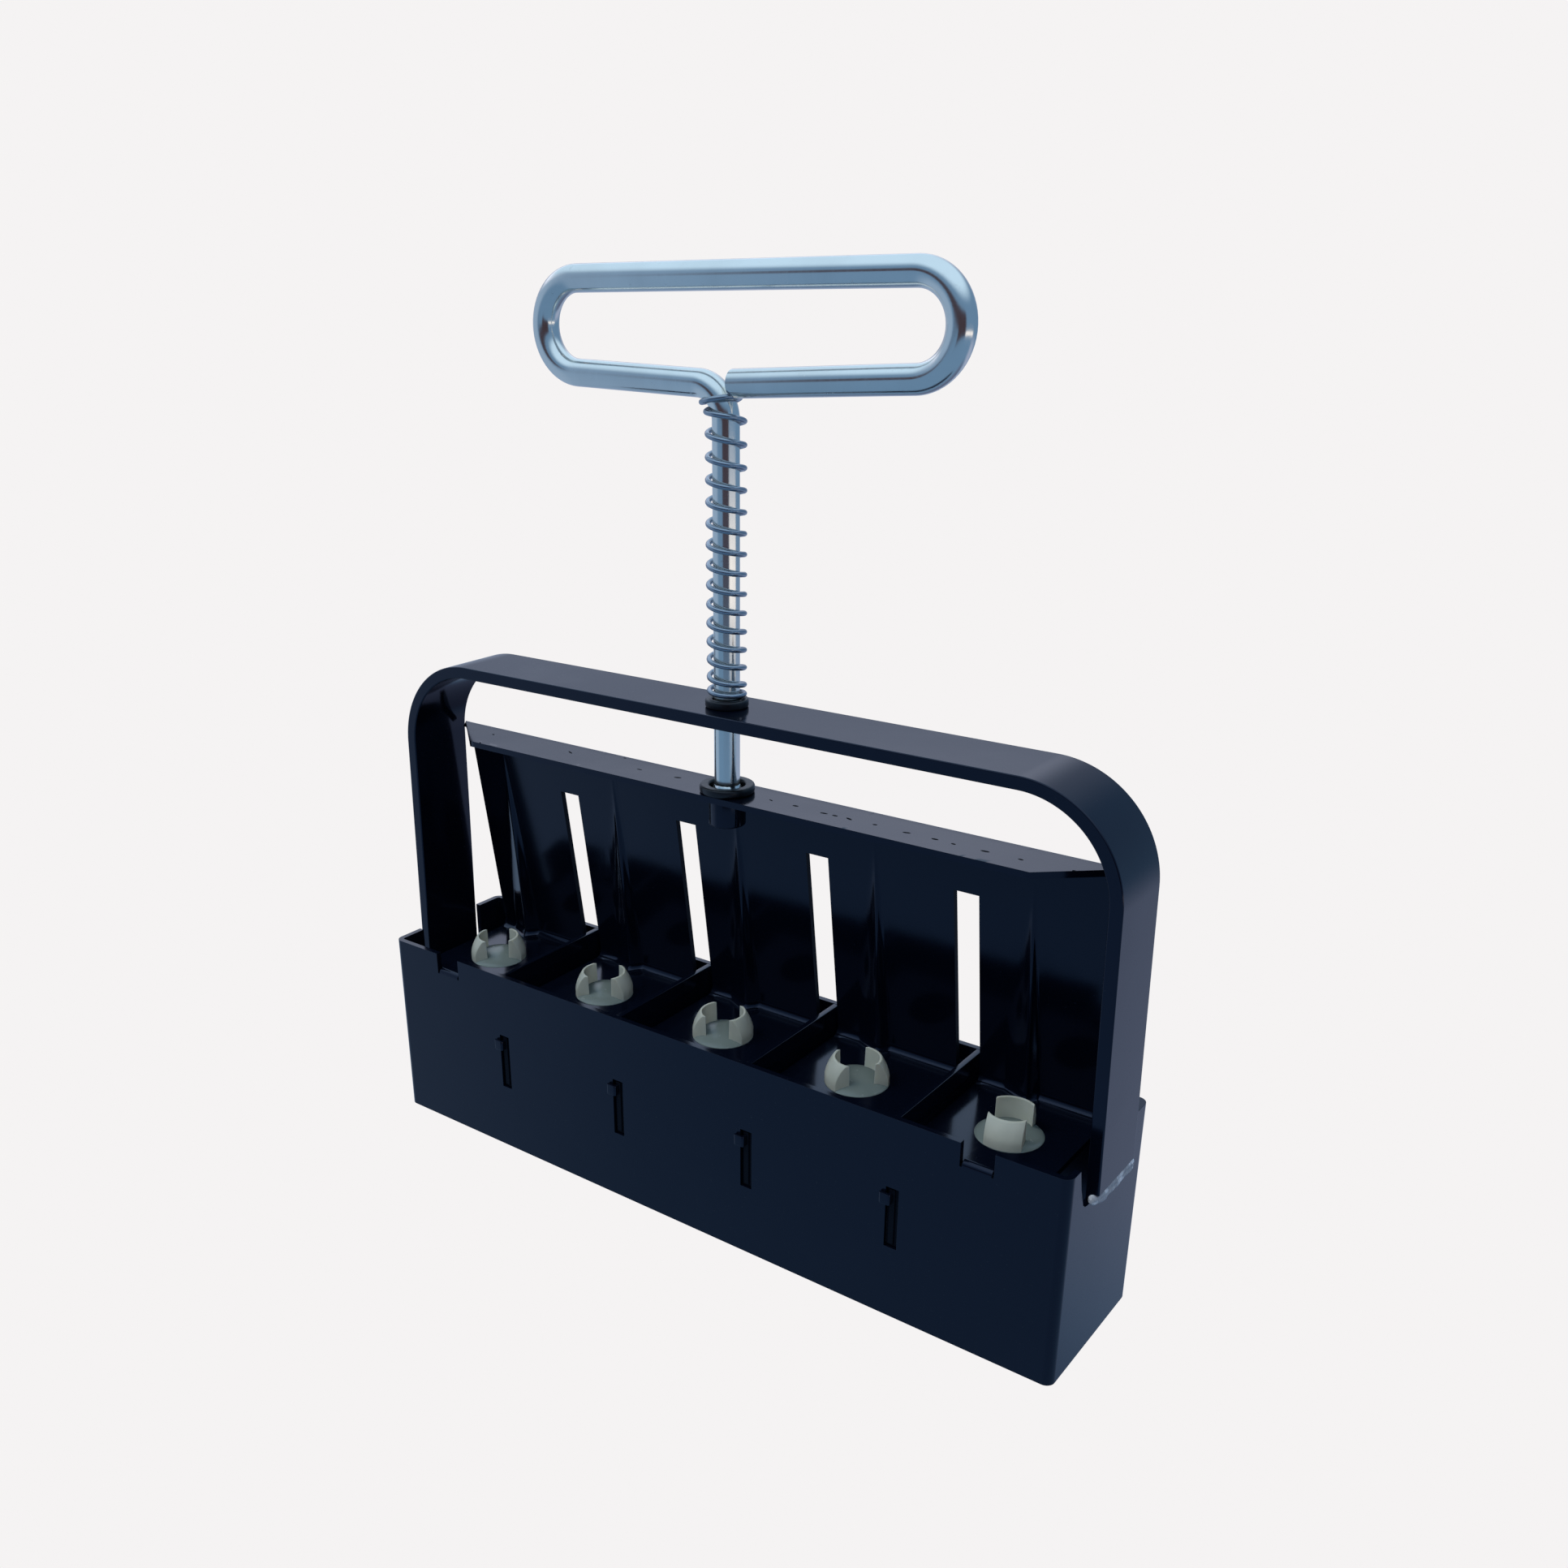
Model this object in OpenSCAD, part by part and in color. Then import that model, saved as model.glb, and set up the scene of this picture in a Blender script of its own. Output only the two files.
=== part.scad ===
// Hand soil blocker: five square cells in a row, a strap frame over them, and a
// spring-loaded plunger that presses the blocks and pushes them out.
// X runs along the row of cells, Y from front to back, Z up. Millimetres.
// The origin is the centre of the bottom rim.

/* [Mould box] */
// Inside width of one cell, along the row
cell_w = 38.5; // [34:0.5:46]
// Inside depth of one cell, front to back
cell_d = 37.5; // [36:0.5:46]
// Height of the mould box
mould_h = 52; // [48:1:60]
// Thickness of the mould's folded sheet
wall_t = 1.5; // [1:0.1:2]
// Inside radius of the mould's vertical corners
corner_r = 0.7; // [0.3:0.1:3]
// Thickness of a divider
divider_t = 1.5; // [1:0.1:2]
// Height of the tab that holds a divider in the wall
tab_h = 14.4; // [8:0.2:18]
// Height of the middle of the tabs above the rim
tab_z = 26.5; // [18:0.5:30]
// Length of the bent hook at a tab's upper end
hook_l = 2.1; // [1:0.1:4]
// Height of the bent hook
hook_h = 4; // [2:0.5:7]
// Thickness of the bent hook
hook_t = 0.9; // [0.6:0.1:1.2]

/* [Up stops] */
// Width of the notch that each up stop is bent out of
stop_notch_w = 8; // [6:0.5:14]
// Length of an up stop, inside the wall
stop_l = 5.5; // [4:0.5:7]

/* [Strap] */
// Width of the strap, front to back
strap_w = 18; // [12:1:24]
// Thickness of the strap
strap_t = 3; // [2:0.5:4]
// Height of the strap's top face above the rim
strap_h = 130; // [126:1:150]
// Outside radius of the strap's two bends
strap_bend_r = 24; // [12:1:28]
// Inward lean of the strap's legs, in degrees
strap_lean = 2; // [0:0.5:3]
// How far a leg's foot stands out from the end wall
strap_proud = 1.9; // [1.6:0.1:2.4]
// Depth of the recess in the end wall's top edge
recess_h = 10.5; // [6:0.5:14]

/* [Handle and rod] */
// Diameter of the handle's round bar
rod_d = 6; // [5:0.5:8]
// Overall width of the handle loop
handle_w = 113; // [90:1:140]
// Overall height of the handle loop
handle_h = 26.5; // [26:0.5:60]
// How far the loop's middle stands to the right of the rod
handle_shift = 2.1; // [0:0.1:4]
// Height of the handle's top above the rim
handle_top = 224; // [222:1:250]
// Centre-line radius of the bend from the handle into the rod
rod_bend_r = 9.5; // [8:0.5:14]

/* [Spring] */
// Diameter of the spring's wire
wire_d = 1.2; // [0.8:0.1:1.3]
// Number of turns
coils = 16; // [10:1:17]

/* [Collar, bush and sleeve] */
// Outside diameter of the ring under the spring
bush_d = 10; // [9.6:0.2:14]
// Height of the ring under the spring
bush_h = 2; // [1:0.5:4]
// Outside diameter of the collar on the plunger
collar_d = 13; // [12.5:0.5:13.5]
// Thickness of the collar
collar_t = 2; // [1:0.5:3]
// Outside diameter of the sleeve under the flange
sleeve_d = 8.8; // [8.4:0.2:11]
// Length of the sleeve
sleeve_l = 6.5; // [4:0.5:8]

/* [Plunger] */
// Thickness of the plunger's sheet
plate_t = 1.5; // [1:0.1:2]
// Height of the ejector plates' top face above the rim, plunger up
plate_z = 46; // [42:0.5:46.5]
// Height of the plunger, from the ejector plates to its flange
plunger_h = 63.5; // [60:0.5:68]
// Width of the web and its ejector plates, along the row
web_w = 186.5; // [184:0.5:190]
// How much less two neighbouring fingers stand apart than two cells
finger_draw = 0.7; // [0:0.1:1]
// How far each end of the flange passes the web
flange_past = 2.75; // [0.5:0.25:3]
// Depth of the flange, front to back
flange_d = 14.5; // [14:0.5:16]
// Length cut off each end of the flange's front edge
flange_cut = 16; // [8:0.5:18]
// Width of the slots between the plunger's fingers
finger_gap = 6.2; // [4.8:0.2:7]
// Travel of the plunger
stroke = 42; // [30:1:43]
// Depth of the crease pressed into each finger, at its foot
crease_d = 3.4; // [1:0.2:4]

/* [Seed pins] */
// Diameter of the pin's head at the plate
pin_head_d = 15.6; // [14:0.2:18]
// Diameter across the prongs' tips
pin_tip_d = 11.4; // [11:0.2:13]
// Height of the prongs above the plate
pin_head_h = 6.6; // [6:0.2:9]
// Width of one prong
pin_prong_w = 8.8; // [7:0.2:9]
// Diameter of the pin's neck, in the plate's hole
pin_neck_d = 11; // [9:0.5:12]
// Diameter of the peg that presses the seed hole
peg_d = 8; // [6:0.5:10]
// Length of the peg
peg_l = 8; // [5:0.5:10]

/* [Hidden] */
$fn = 64;

paint = [0.07, 0.09, 0.13];
zinc = [0.72, 0.78, 0.84];
nylon = [0.92, 0.93, 0.88];
rubber = [0.05, 0.05, 0.06];
bead = [0.3, 0.32, 0.36];

// Clearances
slot_play = 0.35;      // between a divider's tab and its slot, on each side
recess_play = 2;       // between a strap leg and its recess, on each side
stop_play = 0.2;       // between an up stop and the ejector plate under it
tab_proud = 0.1;       // by which a divider's tab passes its slot
strap_play = 0.4;      // between the rod and its hole in the strap
bush_play = 0.3;       // between the rod and the ring
coil_play = 0.4;       // between the rod and the spring
pin_play = 0.3;        // between a pin's neck and its hole
pin_lift = 0.2;        // between a pin's shoulders and the plate
cell_play = 1.2;       // between an ejector plate and the front wall
corner_land = 0.6;     // square end that the flange's corner cut leaves
web_play = 1.5;        // between the plunger's fingers and the rear wall
slot_spare = 1;        // left above a divider when the plunger is down
free_gap = 2;          // from the rod's axis to the handle's cut end
eps = 0.05;            // by which a cutter passes the face that it cuts

// Mould
cells = 5;
pitch = cell_w + divider_t;
mould_l = cells*pitch - divider_t + 2*wall_t;
mould_d = cell_d + 2*wall_t;
outer_r = corner_r + wall_t;
slot_w = divider_t + 2*slot_play;
slot_h = tab_h + 2*slot_play;
stop_z = plate_z + stop_play;
stop_w = stop_notch_w - 1;
end_x = (cells - 1)/2*pitch;

// Strap
foot_z = mould_h - recess_h;
foot_x = mould_l/2 + strap_proud;
hole_d = rod_d + 2*strap_play;
// Half width of the strap's outer face at height z
function leg_x(z) = foot_x - (z - foot_z)*tan(strap_lean);
bend_z = strap_h - strap_bend_r;
bend_x = leg_x(bend_z) - strap_bend_r/cos(strap_lean);

// Handle and rod
loop_r = (handle_h - rod_d)/2;
loop_z = handle_top - handle_h/2;
loop_x = handle_w/2 - handle_h/2;
low_z = loop_z - loop_r;
turn_z = low_z - rod_bend_r;

// Plunger
flange_z = plate_z + plunger_h;
flange_front = -6;
flange_back = flange_front + flange_d;
bend_t = 1.25*plate_t;
web_top_y = flange_back - bend_t;
web_foot_y = cell_d/2 - web_play - plate_t;
web_turn = atan((web_foot_y - web_top_y)/(plunger_h - plate_t));
web_l = (plunger_h - plate_t)/cos(web_turn);
plate_front = -cell_d/2 + cell_play;
slot_top = mould_h + stroke + slot_spare;
finger_pitch = pitch - finger_draw;
function finger_x(i) = (i - (cells - 1)/2)*finger_pitch;
rod_end = flange_z - plate_t - sleeve_l;
collar_hole_d = rod_d + 2.4;

// Spring, from the ring to the underside of the handle's cut end
wire_r = (rod_d + wire_d)/2 + coil_play;
spring_foot = strap_h + bush_h + wire_d/2;
end_pitch = 2*wire_d;
pitch_growth = 0.12;   // share by which the turns open towards the top
top_turn = 24;         // degrees of the rod's bend that the top turn follows
spring_run = turn_z - spring_foot + rod_bend_r*top_turn*PI/180;

// Seed pins
pin_y = -2.2;
pin_turns = [133, 116, 108, 137, 12];
pin_hole_d = pin_neck_d + 2*pin_play;
pin_bore_d = 10.2;
pin_mouth_d = 10.4;
pin_floor = 1.5;
pin_floor_flat = 1.5;    // half-width of the level middle of the floor
pin_edge = 0.6;          // where the prongs start above the plate
pin_bulge = 0.35;         // how far a prong swells past a straight taper
peg_flange_d = pin_neck_d + 4;
peg_flange_t = 1.5;

// A box between two corners
module block(low, high) {
    translate(low)
        cube(high - low);
}

// A box of round vertical corners, centred in X and Y
module round_box(l, d, h, r) {
    block([-l/2 + r, -d/2, 0], [l/2 - r, d/2, h]);
    block([-l/2, -d/2 + r, 0], [l/2, d/2 - r, h]);
    for (x = [-1, 1], y = [-1, 1])
        translate([x*(l/2 - r), y*(d/2 - r), 0])
            cylinder(r = r, h = h);
}

// One up stop: a tab bent inwards out of the front wall
module up_stop(x) {
    front = -mould_d/2;
    block([x - stop_w/2, front + wall_t, stop_z],
        [x + stop_w/2, front + wall_t + stop_l, stop_z + wall_t]);
    intersection() {
        translate([x - stop_w/2, front + wall_t, stop_z])
            rotate([0, 90, 0])
                cylinder(r = wall_t, h = stop_w);
        block([x - stop_w/2, front, stop_z], [x + stop_w/2, front + wall_t, stop_z + wall_t]);
    }
}

module mould_box() {
    color(paint) {
        difference() {
            round_box(mould_l, mould_d, mould_h, outer_r);
            translate([0, 0, -1])
                round_box(mould_l - 2*wall_t, cell_d, mould_h + 2, corner_r);
            block([-mould_l, -strap_w/2 - recess_play, foot_z],
                [mould_l, strap_w/2 + recess_play, mould_h + 1]);
            for (i = [1:cells - 1])
                block([divider_x(i) - slot_w/2, -mould_d, tab_z - slot_h/2],
                    [divider_x(i) + slot_w/2, mould_d, tab_z + slot_h/2]);
            for (x = [-end_x, end_x])
                block([x - stop_notch_w/2, -mould_d, stop_z],
                    [x + stop_notch_w/2, 0, mould_h + 1]);
        }
        for (x = [-end_x, end_x])
            up_stop(x);
    }
}

function divider_x(i) = (i - cells/2)*pitch;

module divider(i) {
    x = divider_x(i);
    half = divider_t/2;
    reach = mould_d/2 + tab_proud;
    hook_z = tab_z + tab_h/2;
    color(paint) {
        block([x - half, -cell_d/2, 0], [x + half, cell_d/2, mould_h]);
        block([x - half, -reach, tab_z - tab_h/2], [x + half, reach, hook_z]);
        for (side = [-1, 1])
            translate([x, side*(reach + hook_t/2), hook_z])
                block([-half - hook_l, -hook_t/2, -hook_h], [half, hook_t/2, 0]);
    }
}

// The strap's outline, grown inwards by inset
module arch(inset) {
    r = strap_bend_r - inset;
    leg = leg_x(foot_z) - inset/cos(strap_lean);
    polygon([[-leg, foot_z], [leg, foot_z],
        [bend_x + r*cos(strap_lean), bend_z + r*sin(strap_lean)],
        [bend_x, bend_z + r], [-bend_x, bend_z + r],
        [-bend_x - r*cos(strap_lean), bend_z + r*sin(strap_lean)]]);
    for (x = [-bend_x, bend_x])
        translate([x, bend_z])
            circle(r = r);
}

module strap() {
    color(paint)
        difference() {
            translate([0, strap_w/2, 0])
                rotate([90, 0, 0])
                    linear_extrude(strap_w)
                        arch(0);
            translate([0, strap_w/2 + 1, 0])
                rotate([90, 0, 0])
                    linear_extrude(strap_w + 2)
                        arch(strap_t);
            block([-mould_l, -strap_w, foot_z - 1], [mould_l, strap_w, foot_z]);
            translate([0, 0, strap_h - strap_t - 1])
                cylinder(d = hole_d, h = strap_t + 2);
        }
}

// Fillet of weld under the foot of a strap leg, side -1 on the left or 1 on the right
module weld(side) {
    weld_r = strap_proud;
    color(bead)
        intersection() {
            translate([side*mould_l/2, strap_w/2, foot_z])
                rotate([90, 0, 0])
                    cylinder(r = weld_r, h = strap_w);
            translate([side*(mould_l/2 + weld_r/2), 0, foot_z - weld_r/2])
                cube([weld_r, strap_w, weld_r], center = true);
        }
}

// A round ring standing on height z
module ring(outer, inner, z, h) {
    difference() {
        translate([0, 0, z])
            cylinder(d = outer, h = h);
        translate([0, 0, z - 1])
            cylinder(d = inner, h = h + 2);
    }
}

module strap_bush() {
    color(rubber)
        ring(bush_d, rod_d + 2*bush_play, strap_h, bush_h);
}

// Distance of a turn from the spring's foot, along the rod
function coil_run(t) =
    t < 1 ? t*end_pitch :
    t > coils - 1 ? spring_run - (coils - t)*end_pitch :
    let (u = (t - 1)/(coils - 2))
        end_pitch + (spring_run - 2*end_pitch)*u*(1 - pitch_growth + pitch_growth*u);

// Angle of the rod's bend at a distance from the spring's foot
function run_turn(s) = max(0, (s - (turn_z - spring_foot))/rod_bend_r*180/PI);

// Point at a distance r to the right of the rod's centre line and y behind it
function by_rod(s, r, y) =
    let (a = run_turn(s), z = min(s + spring_foot, turn_z))
        [-rod_bend_r*(1 - cos(a)) + r*cos(a), y, z + rod_bend_r*sin(a) + r*sin(a)];

// Point of the wire's surface: turn t, angle a round the wire
function wire_point(t, a) =
    let (r = wire_r + wire_d/2*cos(a), s = coil_run(t) + wire_d/2*sin(a))
        by_rod(s, r*cos(-360*t), r*sin(-360*t));

module spring() {
    sides = 8;
    steps = 20;
    rings = coils*steps;
    points = [for (i = [0:rings], j = [0:sides - 1]) wire_point(i/steps, 360*j/sides)];
    side_faces = [for (i = [0:rings - 1], j = [0:sides - 1])
        let (k = (j + 1) % sides)
            [i*sides + j, i*sides + k, (i + 1)*sides + k, (i + 1)*sides + j]];
    foot = [[for (j = [sides - 1:-1:0]) j]];
    top = [[for (j = [0:sides - 1]) rings*sides + j]];
    color(zinc)
        polyhedron(points = points, faces = concat(side_faces, foot, top), convexity = 10);
}

// A bend of the handle's bar about the point (x, z), from angle a, turning by sweep
module bar_bend(x, z, r, a, sweep) {
    translate([x, 0, z])
        rotate([90, 0, 0])
            rotate([0, 0, a])
                rotate_extrude(angle = sweep)
                    translate([r, 0])
                        circle(d = rod_d, $fn = 48);
}

// A straight run of the bar along X at height z
module bar_run(x0, x1, z) {
    translate([x0, 0, z])
        rotate([0, 90, 0])
            cylinder(d = rod_d, h = x1 - x0, $fn = 48);
}

module handle_rod() {
    left = handle_shift - loop_x;
    right = handle_shift + loop_x;
    color(zinc) {
        bar_run(left, right, loop_z + loop_r);
        bar_run(left, -rod_bend_r, low_z);
        bar_run(free_gap, right, low_z);
        bar_bend(right, loop_z, loop_r, -90, 180);
        bar_bend(left, loop_z, loop_r, 90, 180);
        bar_bend(-rod_bend_r, turn_z, rod_bend_r, 0, 90);
        translate([0, 0, rod_end])
            cylinder(d = rod_d, h = turn_z - rod_end, $fn = 48);
    }
}

module rod_collar() {
    color(rubber)
        ring(collar_d, collar_hole_d, flange_z, collar_t);
}

// Fillet of weld round the rod, inside the collar
module rod_weld() {
    color(zinc)
        difference() {
            translate([0, 0, flange_z])
                cylinder(d1 = collar_hole_d - 0.4, d2 = rod_d + 0.2, h = collar_t);
            translate([0, 0, flange_z - 1])
                cylinder(d = rod_d, h = collar_t + 2, $fn = 48);
        }
}

module rod_sleeve() {
    color(paint)
        ring(sleeve_d, rod_d, rod_end, sleeve_l);
}

// Moves its children into the frame of the leaning web: Z up the web from its foot,
// Y behind its front face
module on_web() {
    translate([0, web_foot_y, plate_z])
        rotate([web_turn, 0, 0])
            children();
}

// Prism of the crease in the finger at x, its flanks sunk below the sheet's face.
// It starts under the ejector plate, and its ridge fades out under the flange.
module crease(x, sink) {
    left = -10.5;
    ridge = -3.4;
    right = -1;
    below = 2*plate_t;
    tilt = atan(crease_d/(web_l - below));
    on_web()
        translate([x, sink, -below])
            rotate([-tilt, 0, 0])
                linear_extrude(web_l + below)
                    polygon([[left, 0], [ridge, -crease_d], [right, 0],
                        [right, crease_d], [left, crease_d]]);
}

module web_sheet() {
    on_web()
        block([-web_w/2, 0, -plate_t], [web_w/2, plate_t, web_l + plate_t]);
}

// Flange with its front corners cut off
module flange() {
    half = web_w/2 + flange_past;
    front = half - flange_cut;
    translate([0, 0, flange_z - plate_t])
        linear_extrude(plate_t)
            polygon([[-front, flange_front], [front, flange_front],
                [half, flange_back - corner_land], [half, flange_back],
                [-half, flange_back], [-half, flange_back - corner_land]]);
}

module plunger_plate() {
    far = web_w;
    color(paint)
        difference() {
            union() {
                flange();
                block([-web_w/2, plate_front, plate_z - plate_t],
                    [web_w/2, web_foot_y + bend_t, plate_z]);
                intersection() {
                    union() {
                        web_sheet();
                        for (i = [0:cells - 1])
                            intersection() {
                                crease(finger_x(i), 0);
                                on_web()
                                    block([-far, -2*crease_d, -2*plate_t],
                                        [far, plate_t/2, web_l + plate_t]);
                            }
                    }
                    block([-far, -far, plate_z - plate_t], [far, far, flange_z]);
                }
            }
            for (i = [0:cells - 1])
                intersection() {
                    crease(finger_x(i), plate_t);
                    block([-far, -far, plate_z], [far, far, flange_z - plate_t]);
                }
            for (i = [1:cells - 1])
                translate([finger_x(i) - finger_pitch/2, 0, 0])
                    block([-finger_gap/2, -far, 0], [finger_gap/2, far, slot_top]);
            for (i = [0:cells - 1])
                translate([finger_x(i), pin_y, plate_z - plate_t - 1])
                    cylinder(d = pin_hole_d, h = plate_t + 2);
            translate([0, 0, flange_z - plate_t - 1])
                cylinder(d = rod_d, h = plate_t + 2, $fn = 48);
        }
}

// One snap-in pin, with the top face of its ejector plate at height zero: a flared
// foot, two prongs that stand on it in front of and behind the axis, and the peg
module pin() {
    shoulder = -plate_t - pin_lift;
    rim = pin_head_d/2;
    mid_z = 0.55*pin_head_h;
    mid_r = 0.55*rim + 0.225*pin_tip_d + pin_bulge;
    color(nylon) {
        difference() {
            intersection() {
                rotate_extrude()
                    polygon([[0, pin_edge], [rim - 0.05, pin_edge], [rim - 0.1, 2*pin_edge],
                        [mid_r, mid_z], [pin_tip_d/2, pin_head_h], [0, pin_head_h]]);
                block([-pin_prong_w/2, -rim, 0], [pin_prong_w/2, rim, pin_head_h]);
            }
            translate([0, 0, pin_edge])
                cylinder(d1 = pin_bore_d, d2 = pin_mouth_d, h = pin_head_h - pin_edge + eps);
        }
        // foot with a thin rim, and a floor that rises a little to its middle
        rotate_extrude()
            polygon([[0, pin_lift], [rim - 0.3, pin_lift], [rim, 0.5], [rim, 0.9],
                [pin_bore_d/2 + 0.6, pin_floor], [pin_bore_d/2 - 1.2, pin_floor + 0.3],
                [pin_floor_flat, pin_floor + 0.5], [0, pin_floor + 0.5]]);
        translate([0, 0, shoulder])
            cylinder(d = pin_neck_d, h = pin_lift - shoulder);
        translate([0, 0, shoulder - peg_flange_t])
            cylinder(d = peg_flange_d, h = peg_flange_t);
        translate([0, 0, shoulder - peg_flange_t - peg_l])
            cylinder(d1 = 0.7*peg_d, d2 = peg_d, h = peg_l);
    }
}

module seed_pin(i) {
    translate([finger_x(i - 1), pin_y, plate_z])
        rotate([0, 0, pin_turns[i - 1]])
            pin();
}

mould_box();
divider(1);  // divider_1
divider(2);  // divider_2
divider(3);  // divider_3
divider(4);  // divider_4
strap();
weld(-1);  // weld_left
weld(1);  // weld_right
strap_bush();
spring();
handle_rod();
rod_collar();
rod_weld();
rod_sleeve();
plunger_plate();
seed_pin(1);  // seed_pin_1
seed_pin(2);  // seed_pin_2
seed_pin(3);  // seed_pin_3
seed_pin(4);  // seed_pin_4
seed_pin(5);  // seed_pin_5
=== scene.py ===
import math

import bmesh
import bpy
import numpy as np
from mathutils import Matrix, Vector, noise


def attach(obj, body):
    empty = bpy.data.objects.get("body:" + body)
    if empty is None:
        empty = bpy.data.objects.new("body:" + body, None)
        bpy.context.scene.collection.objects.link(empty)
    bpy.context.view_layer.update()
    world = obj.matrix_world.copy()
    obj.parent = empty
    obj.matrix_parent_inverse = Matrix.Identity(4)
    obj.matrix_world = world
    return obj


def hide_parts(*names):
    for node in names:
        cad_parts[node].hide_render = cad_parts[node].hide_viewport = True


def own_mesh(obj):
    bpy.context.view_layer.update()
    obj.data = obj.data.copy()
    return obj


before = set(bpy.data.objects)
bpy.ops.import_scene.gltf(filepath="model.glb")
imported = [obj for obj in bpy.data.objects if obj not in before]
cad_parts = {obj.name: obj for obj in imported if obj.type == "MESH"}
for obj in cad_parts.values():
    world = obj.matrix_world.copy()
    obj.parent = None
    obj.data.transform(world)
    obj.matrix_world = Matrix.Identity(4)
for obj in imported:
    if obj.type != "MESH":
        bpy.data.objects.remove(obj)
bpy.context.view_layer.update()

# The visual model of a hand soil blocker, made round its solids. X runs along the row of
# cells, Y from front to back and Z up. Lengths are in millimetres until MM turns them.
MM = 0.001

# Sizes of the tool, as its solids have them
PITCH = 39.3
FINGERS = [k * PITCH for k in range(-2, 3)]
DIVIDERS = [-60.0, -20.0, 20.0, 60.0]
SHEET = 1.5
MOULD_TOP = 52.0
CELL_BACK = 18.75
TAB = (19.3, 33.7)
STRAP_TOP = 130.0
FLANGE_TOP = 109.5
PLATE_TOP = 46.0
FOOT_Z = 41.5
MOULD_END = 100.75
PIN_Y = -2.2
PIN_TURNS = [133.0, 116.0, 108.0, 137.0, 12.0]


# ---------------------------------------------------------------- the photo's camera

# From a fit to edges and marks of the tool in the photo: the focal length and the centre in
# the picture's own pixels, the turns in degrees and the place in millimetres
PICTURE = 1932.0
SENSOR = 36.0
FOCAL = 1793.94
CENTRE = (856.68, 1106.02)
AZIMUTH, ELEVATION, ROLL = 38.11, 22.52, -0.74
CAMERA_AT = (194.68, -260.89, 217.44)


def camera_axes():
    """The camera's directions to the right, up and back."""
    az, el, roll = (math.radians(turn) for turn in (AZIMUTH, ELEVATION, ROLL))
    back = Vector((math.sin(az) * math.cos(el), -math.cos(az) * math.cos(el), math.sin(el)))
    right = Vector((0, 0, 1)).cross(back).normalized()
    up = back.cross(right)
    right, up = (math.cos(roll) * right + math.sin(roll) * up,
                 -math.sin(roll) * right + math.cos(roll) * up)
    return right, up, back


def seen_at(pixel, height):
    """Where the sight line through a pixel of the photo meets a height, to 0.1 mm."""
    right, up, back = camera_axes()
    sight = ((pixel[0] - CENTRE[0]) * right - (pixel[1] - CENTRE[1]) * up) / FOCAL - back
    reach = (height - CAMERA_AT[2]) / sight.z
    return [round(place, 1) for place in Vector(CAMERA_AT) + reach * sight]


# ---------------------------------------------------------------- materials

class Wire:
    """A socket of a shader tree. Python's operators on it add Math nodes."""

    def __init__(self, shader, socket):
        self.shader = shader
        self.socket = socket

    def _math(self, operation, first, second):
        return self.shader.node("ShaderNodeMath", {"operation": operation}, {0: first, 1: second})

    def __add__(self, other):
        return self._math("ADD", self, other)

    def __radd__(self, other):
        return self._math("ADD", other, self)

    def __sub__(self, other):
        return self._math("SUBTRACT", self, other)

    def __rsub__(self, other):
        return self._math("SUBTRACT", other, self)

    def __mul__(self, other):
        return self._math("MULTIPLY", self, other)

    def __rmul__(self, other):
        return self._math("MULTIPLY", other, self)


class Shader:
    """Builds one node tree: node() adds any node, the other methods are short for common ones."""

    def __init__(self, tree):
        self.tree = tree
        tree.nodes.clear()

    def node(self, kind, settings=None, inputs=None, output=0):
        made = self.tree.nodes.new(kind)
        for name, value in (settings or {}).items():
            if name == "stops":
                while len(made.color_ramp.elements) < len(value):
                    made.color_ramp.elements.new(0.5)
                for element, (place, colour) in zip(made.color_ramp.elements, value):
                    element.position = place
                    element.color = colour
            else:
                setattr(made, name, value)
        for name, value in (inputs or {}).items():
            socket = made.inputs[name]
            if isinstance(value, Wire):
                self.tree.links.new(value.socket, socket)
            elif value is not None:
                socket.default_value = value
        return Wire(self, made.outputs[output]) if made.outputs else None

    def place(self):
        return self.node("ShaderNodeTexCoord", output="Object")

    def stretched(self, vector, scale):
        return self.node("ShaderNodeMapping", {}, {"Vector": vector, "Scale": scale})

    def noise(self, vector, scale, detail=3.0, rough=0.5):
        return self.node("ShaderNodeTexNoise", {}, {
            "Vector": vector, "Scale": scale, "Detail": detail, "Roughness": rough,
        }, "Fac")

    def span(self, value, low, high):
        """Rises smoothly from 0 to 1 while a value goes from low to high."""
        return self.node("ShaderNodeMapRange", {"interpolation_type": "SMOOTHSTEP"}, {
            "Value": value, "From Min": low, "From Max": high,
        })

    def mix(self, share, first, second):
        return self.node("ShaderNodeMix", {"data_type": "RGBA"}, {
            0: share, 6: first, 7: second,
        }, 2)

    def bump(self, height, strength, distance, under=None):
        return self.node("ShaderNodeBump", {}, {
            "Height": height, "Strength": strength, "Distance": distance, "Normal": under,
        })


def rgb(red, green, blue):
    return (red, green, blue, 1.0)


def new_material(name):
    material = bpy.data.materials.new(name)
    material.use_nodes = True
    return material, Shader(material.node_tree)


def finish_material(shader, settings):
    surface = shader.node("ShaderNodeBsdfPrincipled", {}, settings)
    shader.node("ShaderNodeOutputMaterial", {}, {"Surface": surface})


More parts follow.
